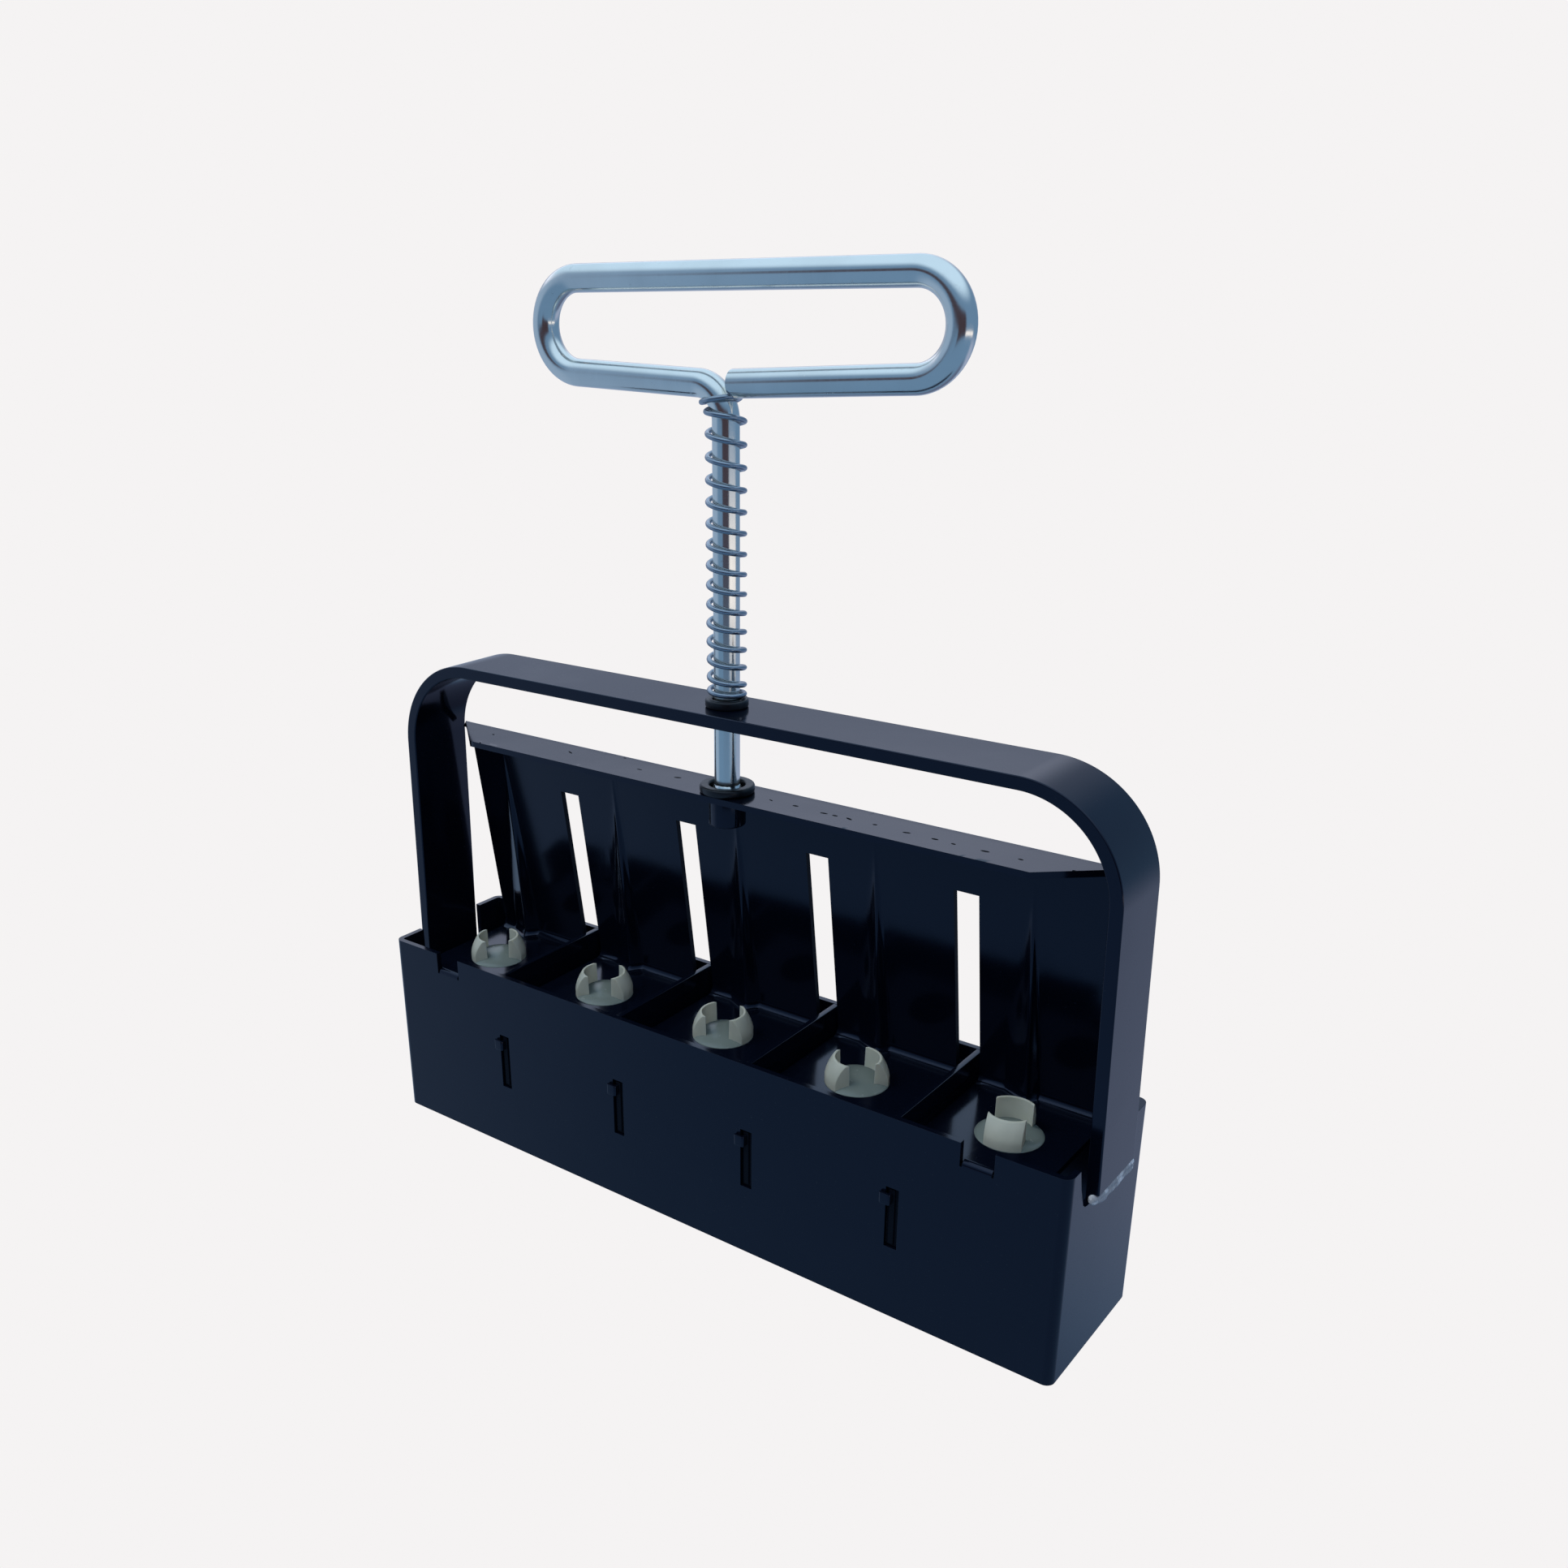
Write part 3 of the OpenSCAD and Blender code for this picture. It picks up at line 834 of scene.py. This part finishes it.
def weld_seam(name, side):
    """Two rows of weld drops under one foot of the strap, the lower row falling away from
    the front."""
    seam = [(side * WELD_X, y, WELD_Z - 0.15 * math.sin(y * 0.9))
            for y in np.linspace(WELD_FRONT, WELD_REAR, 30)]
    seam += [(x, y, z - 0.3 - min(1.2, (y + 9.3) / 4)) for x, y, z in reversed(seam)]
    bead = along_path(f"weld_seam_{name}", WELD_DROPS, seam,
                      {"Spacing": 0.7 * MM, "Drop radius": 1.18 * MM, "Seed": 4 + side},
                      WELD, 70.0)
    return place_piece(bead, "mould", [f"weld_{name}"])


strap_bar()
weld_seam("left", -1)
weld_seam("right", 1)


# ---------------------------------------------------------------- plunger

FLANGE_FRONT = -6.0
FLANGE_END = 96.0
FLANGE_NECK = 60.0
FRONT_END = 80.0
CUT_DEPTH = 13.9
BEND_IN = 0.25
WEB_END = 93.25
WEB_TOP = (6.98, 108.0)
WEB_FOOT = (15.75, PLATE_TOP)
WEB_LEAN = math.atan2(WEB_FOOT[0] - WEB_TOP[0], WEB_TOP[1] - WEB_FOOT[1])
PLATE_FRONT = -17.55
FINGER_HALF = 16.55
SLOT_TOP = 95.0
CREASE = 3.4
CREASE_FADE = 59.67
CREASE_LEFT = -10.5
CREASE_RIDGE = -3.4
CREASE_RIGHT = -1.0
CREASE_BLUR = 0.7
FOOT_BEND = 2.2
HOLE_R = 5.8


def fillet(before, corner, after, radius, steps):
    """Points of a rounded corner between two straight runs."""
    a = (Vector(before) - Vector(corner)).normalized()
    b = (Vector(after) - Vector(corner)).normalized()
    half = a.angle(b) / 2
    centre = Vector(corner) + (a + b).normalized() * (radius / math.sin(half))
    start = Vector(corner) + a * (radius / math.tan(half)) - centre
    end = Vector(corner) + b * (radius / math.tan(half)) - centre
    turn = math.atan2(start.x * end.y - start.y * end.x, start.dot(end))
    out = []
    for i in range(steps + 1):
        t = turn * i / steps
        out.append((centre.x + start.x * math.cos(t) - start.y * math.sin(t),
                    centre.y + start.x * math.sin(t) + start.y * math.cos(t)))
    return out


def soft_most(a, b, blur):
    """The greater of two values, with the change between them rounded."""
    return 0.5 * (a + b + math.sqrt((a - b) ** 2 + blur ** 2))


def crease_depth(x, z):
    """How far the pressed crease stands forward of the finger at x from its middle."""
    up = (z - PLATE_TOP) / math.cos(WEB_LEAN)
    left = CREASE * (x - CREASE_LEFT) / (CREASE_RIDGE - CREASE_LEFT)
    right = CREASE * (CREASE_RIGHT - x) / (CREASE_RIGHT - CREASE_RIDGE)
    ridge = -soft_most(-left, -right, CREASE_BLUR)
    depth = ridge - CREASE * (up + 2 * SHEET) / CREASE_FADE
    return soft_most(depth, 0.0, 0.2) if depth > -2.0 else 0.0


def profile_rows():
    """The inner face of the pressing in (y, z), with what each row belongs to."""
    top = fillet((FLANGE_FRONT, WEB_TOP[1]), WEB_TOP, WEB_FOOT, BEND_IN, 6)
    foot = fillet(WEB_TOP, WEB_FOOT, (PLATE_FRONT, PLATE_TOP), FOOT_BEND, 10)
    rows = [("flange", y, WEB_TOP[1]) for y in np.linspace(FLANGE_FRONT, top[0][0], 8)[:-1]]
    rows += [("flange", y, z) for y, z in top]

    def web(z):
        share = (z - WEB_TOP[1]) / (WEB_FOOT[1] - WEB_TOP[1])
        return WEB_TOP[0] + share * (WEB_FOOT[0] - WEB_TOP[0])

    heights = list(np.linspace(top[-1][1], SLOT_TOP, 8))[1:]
    heights += list(np.linspace(SLOT_TOP, foot[0][1], 36))[1:-1]
    rows += [("web", web(z), z) for z in heights]
    rows += [("foot", y, z) for y, z in foot]
    rows += [("plate", y, PLATE_TOP) for y in np.linspace(foot[-1][0], PLATE_FRONT, 14)[1:]]
    return rows, foot[-1][0]


def profile_columns():
    """Places across the pressing, each with the middle of its finger."""
    close = [-13.5, -12.0, -11.3, -10.9, -10.5, -10.1, -9.6, -8.5, -7.0, -5.6, -4.8, -4.4, -4.1,
             -3.8, -3.6, -3.4, -3.2, -3.0, -2.75, -2.45, -2.1, -1.75, -1.4, -1.1, -0.8, -0.5,
             0.0, 1.5, 4.0, 7.0, 10.0, 13.0]
    columns = []
    for middle in FINGERS:
        low = -FINGER_HALF if middle > FINGERS[0] else -WEB_END - middle
        high = FINGER_HALF if middle < FINGERS[-1] else WEB_END - middle
        columns += [(middle + o, middle) for o in [low] + close + [high]]
    return [(-FLANGE_END, FINGERS[0])] + columns + [(FLANGE_END, FINGERS[-1])]


def flange_place(x, y):
    """Pulls the flange's ends in to its cut corners."""
    end = min(FLANGE_END, FRONT_END + (y - FLANGE_FRONT) * (FLANGE_END - FRONT_END) / CUT_DEPTH)
    past = abs(x) - FLANGE_NECK
    if past <= 0:
        return x
    return math.copysign(
        FLANGE_NECK + past * (end - FLANGE_NECK) / (FLANGE_END - FLANGE_NECK), x)


def pin_holes():
    """The holes that the seed pins stand in."""
    steps = 64
    return [[[(middle + HOLE_R * math.cos(2 * math.pi * i / steps),
               PIN_Y + HOLE_R * math.sin(2 * math.pi * i / steps), z) for i in range(steps)]
             for z in (PLATE_TOP - 4, PLATE_TOP + 4)] for middle in FINGERS]


def plunger_pressing():
    rows, plate_back = profile_rows()
    columns = profile_columns()
    wide = len(columns)
    points = []
    arc_start = WEB_TOP[0] - BEND_IN
    for part, y, z in rows:
        for x, middle in columns:
            push = 0.0
            if part in ("web", "foot"):
                push = crease_depth(x - middle, z)
            elif part == "plate":
                share = (y - PLATE_FRONT) / (plate_back - PLATE_FRONT)
                push = crease_depth(x - middle, PLATE_TOP) * share
            if part == "flange":
                outer = y + max(0.0, y - arc_start) * 5.0
                x = flange_place(x, outer)
            points.append((x, y - push, z))
    faces = []
    for i, j in ((i, j) for i in range(len(rows) - 1) for j in range(wide - 1)):
        between = columns[j][1] != columns[j + 1][1]
        below = rows[i + 1][2] < SLOT_TOP - 1e-6
        past_web = j in (0, wide - 2) and rows[i + 1][0] != "flange"
        if (between and below) or past_web:
            continue
        faces.append((i * wide + j, i * wide + j + 1, (i + 1) * wide + j + 1, (i + 1) * wide + j))
    mesh = mesh_from("plunger_pressing", points, faces, False)
    work = bmesh.new()
    work.from_mesh(mesh)
    bmesh.ops.delete(work, geom=[v for v in work.verts if not v.link_faces], context="VERTS")
    bmesh.ops.recalc_face_normals(work, faces=work.faces)
    middle_face = min(work.faces, key=lambda f: (f.calc_center_median()
                                                 - Vector((0.008, 0.011, 0.08))).length)
    if middle_face.normal.y > 0:
        bmesh.ops.reverse_faces(work, faces=work.faces)
    work.to_mesh(mesh)
    work.free()
    piece = add_object("plunger_pressing", mesh)
    wall = piece.modifiers.new("sheet", "SOLIDIFY")
    wall.thickness = SHEET * MM
    wall.offset = -1.0
    wall.use_even_offset = True
    bevel(piece, 0.3, 3, 50.0)
    cutter = cut(piece, pin_holes())
    settle(piece, "plunger_pressing", PAINT_PRESSED, 40.0, True)
    bpy.data.objects.remove(cutter)
    # Painted shade: the side faces of the slots between the fingers take the dark dull finish, for
    # the shade in the slots
    piece.data.materials.append(SLOT_SHADE)
    for face in piece.data.polygons:
        from_slot = abs((face.center.x / MM / PITCH) % 1.0 - 0.5) * PITCH
        if from_slot < 3.7 and abs(face.normal.x) > 0.7 and abs(face.center.x) < 70 * MM:
            face.material_index = 1
    return place_piece(piece, "plunger", ["plunger_plate"])


plunger_pressing()

# Nicks in the flange's paint, at their pixels in the photo
NICKS_IN_PHOTO = [(608, 905), (703, 927), (770, 934), (788, 948), (835, 958), (950, 986),
                  (980, 993), (1015, 1002), (1029, 1005), (1046, 1009), (1078, 1016),
                  (1117, 1026), (1152, 1034), (1175, 1040), (1214, 1049), (1258, 1059),
                  (1324, 1073)]
nicks = along_path("flange_nicks", PAINT_NICKS,
                   [seen_at(pixel, FLANGE_TOP) for pixel in NICKS_IN_PHOTO],
                   {"Nick radius": 0.6 * MM, "Seed": 5, "edges": False}, CHIP, 70.0)
place_piece(nicks, "plunger")


# ---------------------------------------------------------------- seed pins

PIN_TOP = 6.6
PRONG_HALF = 4.2
# Outline of a pin from the middle of its floor round to its peg's tip: radius and height
PIN_OUTLINE = [
    (0.0, 2.0), (1.5, 1.98), (2.8, 1.88), (3.9, 1.7), (5.0, 1.45), (5.7, 1.22), (6.6, 0.85),
    (7.2, 0.52), (7.5, 0.3), (7.64, 0.16), (7.66, 0.08), (7.6, 0.03), (5.5, 0.03), (5.5, -1.7),
    (7.25, -1.7), (7.43, -1.77), (7.5, -1.95), (7.5, -2.95), (7.43, -3.13), (7.25, -3.2),
    (4.4, -3.2), (4.1, -3.28), (3.97, -3.5), (3.5, -6.8), (2.95, -10.4), (2.7, -10.95),
    (2.2, -11.15), (0.0, -11.2)]
PRONG_ROWS = [0.1, 0.5, 0.9, 1.4, 2.0, 2.7, 3.4, 4.1, 4.8, 5.4, 5.9, 6.3, PIN_TOP]


def prong(direction, steps=20):
    """One prong: a wall between two round faces that thins towards its tip."""
    points = []
    for h in PRONG_ROWS:
        up = h - 1.2
        outer = min(7.6, 7.7 - 0.0674 * up - 0.0561 * up * abs(up))
        inner = 5.1 + 0.1 * (h - 0.6) / 6.0
        for radius in (outer, inner):
            edge = math.asin(PRONG_HALF / radius)
            points += [(radius * math.sin(edge * (2 * i / steps - 1)),
                        direction * radius * math.cos(edge * (2 * i / steps - 1)), h)
                       for i in range(steps + 1)]
    row = 2 * (steps + 1)
    faces = []
    for level in range(len(PRONG_ROWS) - 1):
        a, b = level * row, (level + 1) * row
        for i in range(steps):
            for k in (i, steps + 1 + i):
                faces.append((a + k, a + k + 1, b + k + 1, b + k))
        for i in (0, steps):
            faces.append((a + i, a + steps + 1 + i, b + steps + 1 + i, b + i))
    for a in (0, (len(PRONG_ROWS) - 1) * row):
        faces += [(a + i, a + i + 1, a + steps + 2 + i, a + steps + 1 + i) for i in range(steps)]
    return points, faces


def seed_pin(number):
    """Flared foot, two prongs, neck and peg of one pin, turned as it sits in its hole."""
    turns = 80
    points, faces = [], []
    for i in range(turns):
        a = 2 * math.pi * i / turns
        points += [(r * math.cos(a), r * math.sin(a), z) for r, z in PIN_OUTLINE]
    faces += grid_faces(turns, len(PIN_OUTLINE), True, False)
    for direction in (-1, 1):
        more, more_faces = prong(direction)
        faces += [tuple(k + len(points) for k in f) for f in more_faces]
        points += more
    turn = math.radians(PIN_TURNS[number - 1])
    cos, sin = math.cos(turn), math.sin(turn)
    points = [(FINGERS[number - 1] + x * cos - y * sin, PIN_Y + x * sin + y * cos, PLATE_TOP + z)
              for x, y, z in points]
    name = f"nylon_pin_{number}"
    piece = add_object(name, mesh_from(name, points, faces))
    # Marks the floor between the prongs, which the nylon paints darker as painted shade
    profile = {(round(r, 2), round(z, 2)) for r, z in PIN_OUTLINE}
    marks = piece.data.attributes.new("floor", "FLOAT", "POINT")
    for vertex, mark in zip(piece.data.vertices, marks.data):
        x, y, z = (c / MM for c in vertex.co)
        reach = math.hypot(x - FINGERS[number - 1], y - PIN_Y)
        mark.value = float((round(reach, 2), round(z - PLATE_TOP, 2)) in profile)
    bevel(piece, 0.12, 3, 50.0)
    settle(piece, name, NYLON, 50.0)
    piece.visible_glossy = False
    return place_piece(piece, f"pin_{number}", [f"seed_pin_{number}"])


for number in range(1, 6):
    seed_pin(number)


# ---------------------------------------------------------------- floor, light and camera


def set_camera():
    right, up, back = camera_axes()
    camera = bpy.data.objects.new("camera", bpy.data.cameras.new("camera"))
    bpy.context.scene.collection.objects.link(camera)
    camera.matrix_world = Matrix.Translation(Vector(CAMERA_AT) * MM) @ Matrix(
        (right, up, back)).transposed().to_4x4()
    camera.data.sensor_width = SENSOR
    camera.data.lens = FOCAL / PICTURE * SENSOR
    camera.data.shift_x = (PICTURE / 2 - CENTRE[0]) / PICTURE
    camera.data.shift_y = (CENTRE[1] - PICTURE / 2) / PICTURE
    camera.data.clip_start = 0.01
    camera.data.clip_end = 100
    bpy.context.scene.camera = camera


def set_floor():
    """Plain pale floor, lit evenly from edge to edge."""
    half = 9000.0
    mesh = mesh_from("floor", [(-half, -half, 0), (half, -half, 0), (half, half, 0),
                               (-half, half, 0)], [(0, 1, 2, 3)])
    material, s = new_material("floor")
    glow = s.node("ShaderNodeEmission", {}, {"Color": rgb(0.913, 0.896, 0.896), "Strength": 1.0})
    s.node("ShaderNodeOutputMaterial", {}, {"Surface": glow})
    floor = add_object("floor", mesh, material)
    floor.visible_glossy = False
    floor.visible_diffuse = False


def set_world():
    """A room with a pale ceiling and rear wall, dim and blue in front, dark towards the viewer."""
    world = bpy.data.worlds.new("room")
    world.use_nodes = True
    bpy.context.scene.world = world
    s = Shader(world.node_tree)
    direction = s.node("ShaderNodeTexCoord", output="Generated")
    x, y, z = (s.node("ShaderNodeSeparateXYZ", {}, {"Vector": direction}, i) for i in range(3))
    rear_left = s.node("ShaderNodeVectorMath", {"operation": "DOT_PRODUCT"}, {
        0: direction, 1: (-0.6, 0.7, 0.38)}, "Value")
    left = 0.0 - x

    room = s.mix(s.span(left, 0.5, 0.8), rgb(0.13, 0.24, 0.4), rgb(0.27, 0.39, 0.57))
    room = s.mix(s.span(rear_left, 0.6, 0.97), room, rgb(0.36, 0.42, 0.56))
    sky = rgb(0.56, 0.78, 1.02)
    room = s.mix(s.span(z, 0.42, 0.8), room, sky)
    ceiling = s.span(z, 0.24, 0.38) * s.span(left, 0.1, 0.45) * s.span(y, -0.65, 0.2)
    room = s.mix(ceiling, room, s.mix(s.span(z, 0.4, 0.52), rgb(0.93, 1.02, 1.25), sky))
    floor = s.span(y, 0.35, 0.7) * s.span(0.0 - z, 0.1, 0.38) * s.span(z, -0.67, -0.5)
    room = s.mix(floor, room, rgb(0.33, 0.4, 0.58))
    near_floor = s.span(y, 0.2, 0.6) * s.span(0.0 - z, 0.6, 0.69)
    room = s.mix(near_floor, room, rgb(0.11, 0.14, 0.24))
    window = s.span(x, 0.78, 0.9) * s.span(z, -0.23, -0.19) * s.span(0.0 - z, 0.12, 0.155)
    room = s.mix(window, room, rgb(1.5, 1.4, 1.35))
    edge = s.span(z, -0.06, 0.03) * 0.7 + x - 0.1
    viewer = (s.span(0.0 - y, 0.4, 0.6) * s.span(edge, -0.05, 0.06)
              * s.span(z, -0.25, -0.19) * s.span(0.0 - z, -0.32, -0.2))
    room = s.mix(viewer, room, rgb(0.05, 0.035, 0.045))

    lit = s.node("ShaderNodeBackground", {}, {"Color": room, "Strength": 1.0})
    seen = s.node("ShaderNodeBackground", {}, {"Color": rgb(0.913, 0.896, 0.896)})
    path = s.node("ShaderNodeLightPath", output="Is Camera Ray")
    both = s.node("ShaderNodeMixShader", {}, {0: path, 1: lit, 2: seen})
    s.node("ShaderNodeOutputWorld", {}, {"Surface": both})


def area_light(name, place, target, size, power, colour):
    light = bpy.data.lights.new(name, "AREA")
    light.shape = "RECTANGLE"
    light.size, light.size_y = size
    light.energy = power
    light.color = colour
    lamp = bpy.data.objects.new(name, light)
    bpy.context.scene.collection.objects.link(lamp)
    lamp.location = place
    lamp.visible_glossy = False
    lamp.rotation_mode = "QUATERNION"
    lamp.rotation_quaternion = (Vector(target) - Vector(place)).to_track_quat("-Z", "Y")


set_camera()
set_floor()
set_world()
area_light("key_light", (-0.5, -0.5, 1.1), (0, 0, 0.1), (0.5, 0.5), 4.4, (1.0, 0.98, 0.95))
area_light("side_light", (0.6, -0.35, 0.35), (0, 0, 0.05), (0.3, 0.3), 0.42, (1.0, 0.82, 0.64))
bpy.context.scene.view_settings.view_transform = "Standard"
